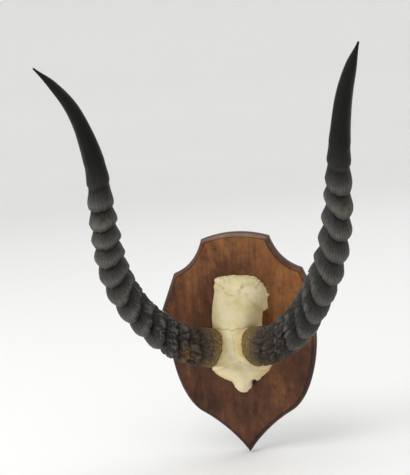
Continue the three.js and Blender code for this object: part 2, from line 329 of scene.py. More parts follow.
board = {
    "backEdge": 0.8,  # the small bevel round the back
    "wall": 11.4,  # depth of the plain edge behind the moulding
    # how far in and how far forward each step of the front edge goes: the round, then the groove inside it
    "moulding": [
        (0.25, 0.9), (0.45, 0.95), (0.7, 0.95), (0.95, 0.85), (1.15, 0.65), (1.15, 0.4), (0.95, 0.15),
    ],
    "quirk": [(0.12, -0.35), (0.3, 0.0), (0.12, 0.9)],
    "faceEase": 0.35,
    "sharpAngle": 32,
    # the right half from the point up to the top: each curve's four knots, and the shares where it has points
    "outline": [
        ([(0, -159), (8, -146), (32, -117), (64, -98.5)], [0, 0.2, 0.28, 0.37, 0.46, 0.56, 0.66, 0.77, 0.88]),
        ([(64, -98.5), (95, -80), (110, -12), (103, 38)], [step / 30 for step in range(30)]),
        ([(103, 38), (103.7, 44), (106.8, 48.7), (112.5, 52)], [0, 0.3, 0.6]),
        ([(112.5, 52), (105.2, 69.3), (97.8, 86.7), (90.5, 104)], [0, 0.5]),
        ([(90.5, 104), (68.8, 112), (54.5, 127.7), (47.5, 151)], [step / 14 for step in range(14)]),
        ([(47.5, 151), (31.8, 156.3), (16, 159), (0, 159)], [0, 0.18, 0.36, 0.52, 0.68, 0.84]),
    ],
    "finishes": {
        # each finish: how much darker it is, its wear with a painted highlight along the top, and its gloss;
        # the edge is darker all over
        "polishedWood": {"dark": 0.0, "wearAndHighlight": 0.0, "gloss": 0.15},
        "edgeWoodTopHighlight": {"dark": 0.25, "wearAndHighlight": 0.2, "gloss": 0.25},
        # the groove inside the round: painted shade and dirt make it darker
        "quirkShadeAndDirtWood": {"dark": 0.42, "wearAndHighlight": 0.0, "gloss": 0.12},
    },
    "color": {
        "dark": (0.036, 0.0155, 0.010), "mid": (0.107, 0.044, 0.0215), "light": (0.33, 0.137, 0.042),
        "red": (0.135, 0.030, 0.012), "pore": (0.016, 0.007, 0.004), "blot": (0.028, 0.013, 0.010),
        "topHighlightAndWear": (0.215, 0.178, 0.155), "backShade": (0.018, 0.010, 0.008), "stain": (0.020, 0.019, 0.014),
    },
    # painted shadows on the wood, in the notch beside the skull's nose and under its tip: place, radius and
    # strength, in metres
    "shadowSpots": {
        "nose": ((0.0136, -0.018, -0.0555), 0.0062, 0.8),
        "tip": ((-0.0005, -0.018, -0.0725), 0.006, 0.45),
    },
    # where each mask starts and where it is full, in metres
    "topHighlightBand": (0.146, 0.152),
    "backShadeBand": (-0.0148, -0.0124),
    # a painted shadow of the right horn, with darker wood, on the board below it: where each axis's mask
    # starts and is full
    "shadeAndDarkWoodBands": [("X", 0.04, 0.085), ("Z", 0.035, -0.01), ("Z", -0.085, -0.045)],
}
hanger = {
    "height": 118,  # of its middle above the board's
    "half": 25.3,
    "radius": 8.8,
    "depth": 1.9,
    "pocket": (11.6, 22.6, 10),  # width, height and depth
}
# radii of the screw holes' mouth and shank, and depths of the cone and of the whole hole
skullScrew = {"heights": (58, -20), "head": 5.1, "shank": 2.5, "headDepth": 2.8, "holeDepth": 30}
upright = Matrix.Rotation(math.pi / 2, 4, "X")  # turns a flat disc to face the wall


def bezierPoint(knots, t):
    weights = ((1 - t) ** 3, 3 * t * (1 - t) ** 2, 3 * t * t * (1 - t), t ** 3)
    return tuple(sum(weight * knot[axis] for weight, knot in zip(weights, knots)) for axis in (0, 1))


def boardOutline():
    right = [bezierPoint(knots, t) for knots, steps in board["outline"] for t in steps] + [(0, 159)]
    return right + [(-x, z) for x, z in right[-2:0:-1]]


def woodFinish(name, dark, wearAndHighlight, gloss):
    wood = Finish(name, specular=gloss, coatRoughness=0.3)
    hue = board["color"]
    at = wood.objectPlace()
    x, y, z = (wood.part(at, axis) for axis in "XYZ")
    figure = wood.noise(wood.stretch(at, (1, 1, 0.4)), 30, 5, 0.6, 1.2)
    streaks = wood.noise(wood.stretch(at, (1, 1, 0.06)), 120, 4, 0.6, 0.4)
    mottle = wood.noise(wood.stretch(at, (1, 1, 0.7)), 95, 5, 0.65, 0.5)
    pores = wood.noise(wood.stretch(at, (1, 1, 0.035)), 1500, 2, 0.5)
    clouds = wood.noise(at, 13, 3, 0.5)
    slope = x * 1.6 + z * 0.85  # lighter towards the upper right
    # a painted shadow of the right horn, with darker wood, on the board below and right of it
    right, below, above = (wood.between(wood.part(at, axis), *band) for axis, *band in board["shadeAndDarkWoodBands"])
    shadeAndDarkWood = right * below * above
    tone = figure * 0.68 + streaks * 0.38 + mottle * 0.45 + clouds * 0.55 + slope - 0.52 - dark - shadeAndDarkWood * 0.27
    # the top edge, where wear and a painted highlight lighten the wood
    top = wood.between(z, *board["topHighlightBand"])
    stops = [(0.18, hue["dark"]), (0.47, hue["mid"]), (0.86, hue["light"])]
    ground = wood.node("ValToRGB", {"stops": stops}, {0: (tone + top * wearAndHighlight).clamped()})
    red = wood.between(wood.noise(at, 21, 3, 0.6), 0.5, 0.72)
    ground = wood.mix(red * 0.5, ground, hue["red"])
    poreMask = wood.between(pores, 0.40, 0.30) * 0.55
    ground = wood.mix(poreMask, ground, hue["pore"])
    blots = wood.between(wood.noise(at, 45, 4, 0.65), 0.55, 0.70) * 0.5
    ground = wood.mix(blots, ground, hue["blot"])
    # wear with a painted highlight: a pale grey sheen along the board's top edge
    ground = wood.mix(top * (wearAndHighlight * 3.4) * clouds, ground, hue["topHighlightAndWear"])
    # painted shade along the back of the edge, where the board's side sits in shadow
    ground = wood.mix(wood.between(y, *board["backShadeBand"]) * 0.85, ground, hue["backShade"])
    # painted shadows, in the colour listed as the stain
    for spot, radius, strength in board["shadowSpots"].values():
        shadowed = wood.between(wood.distance(at, spot), radius, radius * 0.45)
        ground = wood.mix(shadowed * strength, ground, hue["stain"])
    dull = wood.noise(at, 40, 3, 0.6)
    wood.set(color=ground,
             roughness=(dull * 0.25 + streaks * 0.12 + 0.30).clamped(),
             coat=(gloss * 0.8 - dull * 0.25).clamped(),
             normal=wood.bump(streaks * 0.35 - poreMask + dull * 0.3, 0.00025))
    return wood.material


def insetFace(bm, face, inward, forward=0.0):  # gives the new faces round a face that moves in and forward
    return bmesh.ops.inset_region(bm, faces=[face], thickness=inward * mm, depth=forward,
                                  use_even_offset=True)["faces"]


def addBoard():
    bm = bmesh.new()
    back = bm.faces.new([bm.verts.new((x * mm, 0, z * mm)) for x, z in boardOutline()])
    bmesh.ops.translate(bm, verts=extruded(bm, [back]), vec=(0, -board["wall"] * mm, 0))
    bmesh.ops.recalc_face_normals(bm, faces=bm.faces)
    front = min(bm.faces, key=lambda f: f.normal.y)
    rear = max(bm.faces, key=lambda f: f.normal.y)
    faceFinish, edgeFinish, quirkFinish = range(3)  # in the order of the board's finishes
    for finish, steps in ((edgeFinish, board["moulding"]), (quirkFinish, board["quirk"])):
        for inward, forward in steps:
            for f in insetFace(bm, front, inward, forward * mm):
                f.material_index = finish
    reached = max(-v.co.y for v in bm.verts)
    for f in insetFace(bm, front, board["faceEase"], -boardFront - reached):
        f.material_index = faceFinish
    edge = [f for f in bm.faces if abs(f.normal.y) < 0.05]
    for f in edge:
        f.material_index = edgeFinish
    insetFace(bm, rear, board["backEdge"])
    for vert in {v for f in edge for v in f.verts if v.co.y > -1e-6}:  # bevels the back's edge
        vert.co.y -= board["backEdge"] * mm
    finishes = [woodFinish(name, **look) for name, look in board["finishes"].items()]
    piece = addObject("carvedBoard", bm, *finishes)
    cutter = boardCutter()
    cut = piece.modifiers.new("backRecesses", "BOOLEAN")
    cut.operation, cut.object, cut.solver = "DIFFERENCE", cutter, "EXACT"
    settle(piece)
    bpy.data.objects.remove(cutter)
    shadeSmooth(piece, board["sharpAngle"])
    place(piece, "wood", "shield")


def boardCutter():  # the plate's rebate, the pocket behind its keyhole and the countersunk screw holes
    clear, lid = 1, 1.5  # how far the slot and the pocket stand out behind, so that they share no face
    bm = bmesh.new()
    middle = hanger["height"] * mm
    bmesh.ops.create_circle(bm, cap_ends=True, segments=48, radius=hanger["radius"] * mm,
                            matrix=Matrix.Translation((0, clear * mm, middle)) @ upright)
    for vert in bm.verts:  # the disc's halves move apart, which makes it a slot
        vert.co.z += math.copysign((hanger["half"] - hanger["radius"]) * mm, vert.co.z - middle)
    for vert in extruded(bm, list(bm.faces)):
        vert.co.y = -hanger["depth"] * mm
    width, height, depth = hanger["pocket"]
    size = Matrix.Diagonal((width * mm, (depth + lid) * mm, height * mm, 1))
    pocket = bmesh.new()
    seat = Matrix.Translation((0, (lid - depth) / 2 * mm, middle))
    bmesh.ops.create_cube(pocket, size=1, matrix=seat @ size)
    bm = joined(bm, pocket)
    for level in skullScrew["heights"]:
        bm = joined(bm, screwHole(level, clear))
    return addObject("cutter", bm)


def screwHole(level, clear):  # a wide mouth, the cone for the screw's head and the hole for its shank
    bm = bmesh.new()
    seat = Matrix.Translation((0, clear * mm, level * mm))
    bmesh.ops.create_circle(bm, cap_ends=True, segments=40, radius=skullScrew["head"] * mm,
                            matrix=seat @ upright)
    steps = ((0, "head"), (skullScrew["headDepth"], "shank"), (skullScrew["holeDepth"], "shank"))
    for reach, radius in steps:
        end = min(bm.faces, key=lambda f: f.calc_center_median().y)
        moved = extruded(bm, [end])
        if reach:  # the first face stays, as the cutter's lid
            bmesh.ops.delete(bm, geom=[end], context="FACES_ONLY")
        for vert in moved:
            flat = Vector((vert.co.x, 0, vert.co.z - level * mm)).normalized() * skullScrew[radius] * mm
            vert.co = flat + Vector((0, -reach * mm, level * mm))
    return bm


def joined(first, second):  # adds one bmesh's faces to another
    spare = bpy.data.meshes.new("spare")
    bmesh.ops.recalc_face_normals(second, faces=second.faces)
    second.to_mesh(spare)
    second.free()
    first.from_mesh(spare)
    bpy.data.meshes.remove(spare)
    bmesh.ops.recalc_face_normals(first, faces=first.faces)
    return first


addBoard()
print("the board is carved")


# Horns

horn = {
    "columns": 192,
    "rowsPerRing": 24,
    "tipRows": 54,
    # ring heights at even steps from the base up to ringsEnd
    "ringHeights": [0.9, 3.2, 3.8, 3.7, 3.4, 2.9, 1.4, 0.3],
    "ringsEnd": 345,
    "lastRing": 26,  # length of the ring above the last lip
    "ringsFade": (285, 325),
    "backShare": 0.45,  # ring height behind, as a share of that in front
    "frontTurnEnd": 200,
    "slantEnd": (250, 285),
    "lipWaver": 2.2,
    "lipFrill": 0.7,
    "overhang": 1.7,
    "rimWaver": 1.6,
    "baseInset": 3.2,
    "baseDepths": (6, 3.5),  # how far inside the base's middle and its inner ring lie
    "swell": 0.5,
    "striation": 0.25,
    "striae": 44,  # painted lines round the horn
    "linesEnd": (300, 360),
    # bark-like knobs: their heights and sizes, and how far they reach all round and up the inner side
    "knobs": 4.2,
    "smallKnobs": 1.3,
    "knobScale": 0.102,
    "smallKnobScale": 0.3,
    "roughEnd": (35, 82),
    "roughInsideEnd": (100, 215),
    "knobsLower": (60, 120),
    "tanPatch": (-0.0595, -0.0995, 0.0085),  # in metres
    "left": {
        "node": "horn_left",
        "side": -1,
        "outward": 3,  # degrees that the rings' fronts face outwards, and how many more they do at the base
        "frontTurn": 44,
        "climb": (35, 9),  # how far each lip climbs from front to back, low and high on the horn
        "climbChange": (95, 255),
        "slant": 0,  # how much higher the lips lie on the inner side
        # the lips' places along the horn, the middle line's points and the radii at even steps
        "lips": [9, 22, 36, 51, 73, 97, 122, 148, 173.5, 199, 223, 247, 271.5, 300, 326],
        "line": [
            (-32, -58.5, 7), (-69, -83, 23.5), (-100.5, -103, 52.5), (-124.5, -118.5, 89.5),
            (-139, -129.5, 132.5), (-144, -139.5, 202), (-144.5, -150.5, 271.5), (-157, -173, 337.5),
            (-172.3, -192.2, 368.8), (-189, -208, 390.5),
        ],
        "radii": [
            26.7, 24.5, 22.5, 20.9, 19.5, 18.8, 18.3, 17.8, 17, 15.9, 14.7, 13.4, 11.9, 9.8, 7.9, 5.4, 1.1,
        ],
    },
    "right": {
        "node": "horn_right",
        "side": 1,
        "outward": 12,
        "frontTurn": 25,
        "climb": (44, 21),
        "climbChange": (115, 180),
        "slant": 6.5,
        "lips": [10, 24, 40, 60, 84, 108, 133.5, 163, 191, 218, 245, 270.5, 299, 321],
        "line": [
            (27.5, -67.5, 10.3), (61, -89, 23), (92.5, -108, 52), (117.5, -122.5, 89.5),
            (136.5, -133, 131.5), (149.5, -142, 188.5), (156, -152.5, 258.5), (166, -174.5, 324.5),
            (176.8, -193, 359.8), (187, -207, 384.5),
        ],
        "radii": [
            26.7, 24.5, 22.5, 20.9, 19.5, 18.8, 18.3, 17.8, 17, 15.9, 14.7, 13.5, 12.3, 10.8, 9.3, 6.6, 1.1,
        ],
    },
    "color": {
        "groove": (0.020, 0.0187, 0.0174), "fibre": (0.045, 0.0418, 0.0382), "wearAndHighlight": (0.19, 0.176, 0.154),
        # inner: painted shade on the horns' inner sides
        "olive": (0.15, 0.132, 0.082), "inner": (0.011, 0.0102, 0.0095), "tipDark": (0.002, 0.0018, 0.0017),
        "tip": (0.006, 0.0055, 0.005), "barkDark": (0.020, 0.014, 0.010), "bark": (0.105, 0.066, 0.037),
        "orange": (0.17, 0.085, 0.032), "tan": (0.22, 0.115, 0.045), "ochreDark": (0.10, 0.063, 0.023),
        "ochre": (0.245, 0.165, 0.060), "creaseShadow": (0.004, 0.0037, 0.0034),
    },
}


def unit(vectors):
    return vectors / np.linalg.norm(vectors, axis=-1, keepdims=True)


def hornPath(line):  # distances at even steps along a horn, with its middle, direction and front there
    points = np.array(line, float)
    count, start = 481, 288  # steps, and the one from which the front is carried both ways
    ends = np.vstack([2 * points[0] - points[1], points, 2 * points[-1] - points[-2]])
    t = np.linspace(0, 1, 60, endpoint=False)[:, None]
    stretches = []
    for p0, p1, p2, p3 in zip(ends, ends[1:], ends[2:], ends[3:]):
        d0, d1, d2 = (np.linalg.norm(b - a) ** 0.5 for a, b in ((p0, p1), (p1, p2), (p2, p3)))
        leave = d1 * ((p1 - p0) / d0 - (p2 - p0) / (d0 + d1) + (p2 - p1) / d1)
        arrive = d1 * ((p2 - p1) / d1 - (p3 - p1) / (d1 + d2) + (p3 - p2) / d2)
        cubic = 2 * p1 - 2 * p2 + leave + arrive
        square = 3 * p2 - 3 * p1 - 2 * leave - arrive
        stretches.append(((cubic * t + square) * t + leave) * t + p1)
    path = np.vstack(stretches + [points[-1:]])
    reach = np.concatenate([[0], np.cumsum(np.linalg.norm(np.diff(path, axis=0), axis=1))])
    even = np.linspace(0, reach[-1], count)
    middle = np.stack([np.interp(even, reach, path[:, axis]) for axis in range(3)], 1)
    along = unit(np.gradient(middle, axis=0))
    front = np.zeros_like(middle)
    front[start] = unit(np.array([0, -1, 0]) - along[start] * -along[start][1])
    for step in [*range(start + 1, count), *range(start - 1, -1, -1)]:
        last = front[step - 1 if step > start else step + 1]
        front[step] = unit(last - along[step] * (last @ along[step]))
    return even, middle, along, front


def ringForm(share):  # one ring from its undercut to the next: -1 in the undercut, 1 on the swelling
    rise = np.sqrt(1 - (1 - np.clip(share / 0.22, 0, 1)) ** 2)
    fall = 0.5 + 0.5 * np.cos(math.pi * np.clip((share - 0.2) / 0.8, 0, 1) ** 0.95)
    return 2 * rise * fall - 1


def lipClimb(turned):  # how far a lip has climbed: 0 in front, level along both sides, 1 behind
    tongue = 1 - (1 - np.clip(turned / 0.54, 0, 1)) ** 1.3
    return 0.54 * tongue + 0.46 * ease(0.64, 1.0, turned)


def hornRows(lips, length):  # places of the rows along the horn, close together at the lips
    shortRing = 18
    steps = np.linspace(0, 1, horn["rowsPerRing"], endpoint=False) ** 1.7
    rows = [[0, 0], np.linspace(0, lips[0], 8, endpoint=False)]
    for low, high in zip(lips, lips[1:]):
        rows.append(low + (high - low) * (steps if high - low > shortRing else steps[::2]))
    lastRing = lips[-1] + horn["lastRing"] * steps
    rows += [lastRing, np.linspace(lastRing[-1] + 1.5, length, horn["tipRows"]), [length]]
    return np.concatenate(rows)


def hornKnobs(across, along):  # large and small bark-like knobs, with their rows bent out of line
    flat = np.column_stack([across * 26, along * 0.7])
    bent = flat + np.column_stack([relief(flat + shift, 0.09, 3) for shift in (0, 30, 60)]) * 5
    return lumps(bent, horn["knobScale"]) - 0.55, lumps(bent + 40, horn["smallKnobScale"]) - 0.5


def hornSurface(own, length, row, last, angle, at):  # the horn's form, and the masks that its finish reads
    sideways = -own["side"] * np.sin(angle)  # 1 on the inner side and -1 on the outer one
    across, facing = np.column_stack([np.cos(angle), np.sin(angle)]), (1 + np.cos(angle)) / 2
    # each ring's form, and how its height fades upwards
    lips = np.array(own["lips"] + [own["lips"][-1] + horn["lastRing"]], float)
    ring = np.clip(np.searchsorted(lips, at, side="right") - 1, 0, len(lips) - 2)
    share = np.clip((at - lips[ring]) / (lips[ring + 1] - lips[ring]), 0, 1)
    ringed = (0.45 + 0.55 * ease(15, 65, at)) * np.clip(at / 12, 0, 1)
    ringed *= 1 - ease(lips[-2] + 8, lips[-1], at)
    form = np.where(at < lips[0], 0.2, ringForm(share)) * ringed
    fading = 1 - 0.85 * ease(*horn["ringsFade"], at)
    sides = horn["backShare"] + (1 - horn["backShare"]) * np.sqrt(facing)
    ringHeight = readEven(horn["ringHeights"], at / horn["ringsEnd"]) * sides * (0.2 + 0.8 * fading)
    # the lips waver, and climb from the front of the horn round to its back
    drift = relief(np.column_stack([across * 1.3, at / 34 + own["side"] * 7]), 1.0, 2)
    frill = relief(np.column_stack([across * 5, at / 24 + own["side"] * 3]), 1.0, 2)
    waver = drift * horn["lipWaver"] + frill * horn["lipFrill"]
    waver = waver * np.clip(at / 30, 0.25, 1) * np.clip((length - at) / 120, 0, 1)
    low, high = own["climb"]
    climb = (low + (high - low) * ease(*own["climbChange"], at)) * lipClimb(1 - facing)
    slant = own["slant"] * (1 - ease(*horn["slantEnd"], at)) * sideways
    atEnds = np.clip(np.minimum(at / 50, (length - at) / 100), 0, 1)
    lip = near(share - 0.055, 0.035) * ringed * fading * (0.35 + 0.65 * facing)
    along = at + (climb + slant) * atEnds + waver - horn["overhang"] * lip
    rim = relief(np.column_stack([across * 3.1, np.full(len(at), own["side"] * 2.0)]), 1.0, 3)
    along = np.clip(along + rim * horn["rimWaver"] * np.clip(1 - at / 8, 0, 1), -4, length)
    radius = readEven(own["radii"], along / length) + form * ringHeight
    # the rough, knobbly base and inner side, and the fine lines that run from ring to ring
    inner = np.clip(sideways, 0, 1)
    inside = np.clip(inner * 0.9 + (1 - facing) * 0.5, 0, 1) * (1 - ease(*horn["roughInsideEnd"], along))
    rough = np.clip(1 - ease(*horn["roughEnd"], along) + inside, 0, 1) * ease(4, 26, at)
    knob, small = hornKnobs(across, along)
    bark = rough * (knob * horn["knobs"] + small * horn["smallKnobs"])
    radius += bark * (1 - 0.5 * ease(*horn["knobsLower"], along))
    lines = relief(np.column_stack([across * 9, along / 90]), 1.0, 2)
    lined = 1 - ease(*horn["linesEnd"], along)
    radius += lines * horn["striation"] * (0.35 + 0.65 * np.clip(form + 0.4, 0, 1)) * (0.25 + 0.75 * lined)
    swell = relief(np.column_stack([across * 1.1, along / 60 + 9]), 1.0, 2)
    radius += swell * horn["swell"] * np.clip((length - along) / 100, 0, 1)
    # the first two rows close the base a little way inside, and the last one closes the tip
    radius = np.where(row == 1, radius - horn["baseInset"], radius)
    radius = np.where((row == 0) | (row == last), 0, radius)
    along = np.where(row <= 1, along + np.where(row == 0, *horn["baseDepths"]), along)
    # what the finish reads: height, painted shadow under each lip and painted shade in the cracks between
    # knobs, and painted shade on the inner side
    creaseShadow = near(share, 0.035) + near(1 - share, 0.2)
    creaseShadow *= ringed * fading ** 2 * (at >= lips[0]) * (0.4 + 0.6 * facing)
    # painted shade in the cracks between the knobs
    cracks = np.clip(-(knob + 0.25) * 2.2, 0, 0.7) * rough
    height = np.clip(form * 0.5 + 0.5 + rough * (knob + small * 0.4) * 0.9, 0, 1)
    height *= lined * (0.4 + 0.6 * fading)
    tone = np.column_stack([height, np.clip(creaseShadow + cracks, 0, 1), inner * ease(50, 110, along)])
    return along, radius, np.column_stack([across * radius[:, None], along]) * mm, tone


def hornPlace(own, angle, along, radius):  # the points of the surface in the frame, in millimetres
    even, *tables = hornPath(own["line"])
    step = np.clip(along, 0, even[-1] - 0.06)
    centre, axis, front = (np.column_stack([np.interp(step, even, table[:, i]) for i in range(3)])
                           for table in tables)
    axis, front = unit(axis), unit(front)
    centre = centre + axis * np.minimum(along, 0)[:, None]
    lowShare = np.clip(1 - along / horn["frontTurnEnd"], 0, 1.02)
    turn = (angle + own["side"] * np.radians(own["outward"] + own["frontTurn"] * lowShare))[:, None]
    return centre + radius[:, None] * (np.cos(turn) * front + np.sin(turn) * np.cross(axis, front))


def addHorn(name, material):
    own = horn[name]
    length = hornPath(own["line"])[0][-1]
    rows = hornRows(own["lips"], length)
    last = len(rows) - 1
    bm = bmesh.new()
    bmesh.ops.create_grid(bm, x_segments=horn["columns"], y_segments=last, size=0.5)
    straightLayer = bm.verts.layers.float_vector.new("straight")
    toneLayer = bm.verts.layers.float_vector.new("tone")
    flat = np.array([vert.co for vert in bm.verts]) + 0.5
    row = np.rint(flat[:, 1] * last).astype(int)
    angle = 2 * math.pi * np.rint(flat[:, 0] * horn["columns"]) / horn["columns"]
    along, radius, straight, tone = hornSurface(own, length, row, last, angle, rows[row])
    spot = hornPlace(own, angle, along, radius) * mm
    for vert, co, lined, toned in zip(bm.verts, spot.tolist(), straight.tolist(), tone.tolist()):
        vert.co, vert[straightLayer], vert[toneLayer] = co, lined, toned
    bmesh.ops.remove_doubles(bm, verts=bm.verts, dist=4e-6)
    bmesh.ops.recalc_face_normals(bm, faces=bm.faces)
    piece = addObject(name + "Horn", bm, material)
    shadeSmooth(piece)
    place(piece, "horn", own["node"])
    print(name, "horn has", len(piece.data.polygons), "faces")


def hornFinish():
    sheath = Finish("hornSheath", specular=0.13)
    hue = horn["color"]
    straight, tone = sheath.attribute("straight"), sheath.attribute("tone")
    x, y, along = (sheath.part(straight, axis) for axis in "XYZ")
    height, creaseShadow, inner = (sheath.part(tone, axis) for axis in "XYZ")
    fibres = sheath.noise(sheath.stretch(straight, (1, 1, 0.018)), 760, 2, 0.5)
    fine = sheath.noise(sheath.stretch(straight, (1, 1, 0.012)), 1900, 1, 0.5)
    clouds = sheath.noise(straight, 34, 4, 0.6)
    specks = sheath.noise(straight, 380, 3, 0.6)
    uneven = (clouds - 0.5) * 0.05
    base = 1 - sheath.between(along + uneven, 0.018, 0.085)
    rimBand = 1 - sheath.between(along + uneven * 0.9, 0.003, 0.027)
    tip = sheath.between(along, 0.262, 0.345)
    around = y.math("ARCTAN2", y, x) * horn["striae"]
    around = around + sheath.noise(sheath.stretch(straight, (1, 1, 0.07)), 110, 2, 0.5) * 14
    ridges = around.sine() * 0.5 + 0.5
    lines = sheath.between(fibres * 0.78 + ridges * 0.22, 0.3, 0.72)
    ground = sheath.mix(lines, hue["groove"], hue["fibre"])
    # wear with a painted highlight: the rings' swellings next to the lips and the knobs' tops lighter
    wearAndHighlight = (height ** 3.5 * (0.5 + lines * 0.5) * (1 - tip) * (1 - base * 0.35)).clamped()
    ground = sheath.mix(wearAndHighlight * 0.5, ground, hue["wearAndHighlight"])
    olive = sheath.between(clouds, 0.60, 0.72) * height * (1 - tip)
    ground = sheath.mix(olive * 0.45, ground, hue["olive"])
    # painted shade: the horns' inner sides darker
    ground = sheath.mix(inner * 0.2, ground, hue["inner"])
    ground = sheath.mix(tip * 0.95, ground, sheath.mix(clouds, hue["tipDark"], hue["tip"]))
    bark = sheath.mix(sheath.between(specks, 0.35, 0.65), hue["barkDark"], hue["bark"])
    ground = sheath.mix(base * (0.15 + clouds * 0.8), ground, bark)
    orange = sheath.between(sheath.noise(straight, 52, 3, 0.6), 0.60, 0.70) * base
    ground = sheath.mix(orange * 0.45, ground, hue["orange"])
    apart = sheath.distance(sheath.objectPlace(), horn["tanPatch"])
    tanned = sheath.between(apart + (specks - 0.5) * 0.04 + (clouds - 0.5) * 0.04, 0.015, 0.001)
    ground = sheath.mix((tanned * (0.15 + height * 0.6 + fibres * 0.3)).clamped(), ground, hue["tan"])
    ochre = sheath.mix(sheath.between(specks, 0.3, 0.7), hue["ochreDark"], hue["ochre"])
    ground = sheath.mix(rimBand * 0.8, ground, ochre)
    # painted shadow under each ring's lip and painted shade in the cracks between the base's knobs
    ground = sheath.mix((creaseShadow * 0.95).clamped(), ground, hue["creaseShadow"])
    sheath.set(color=ground,
               roughness=(0.40 + fibres * 0.18 + base * 0.2 - tip * 0.08 - fine * 0.05).clamped(),
               normal=sheath.bump(fibres * 0.45 + ridges * 0.22 + fine * 0.1 + specks * base * 0.7, 0.0005))
    return sheath.material


hornMaterial = hornFinish()
for name in ("left", "right"):
    addHorn(name, hornMaterial)


# Skull

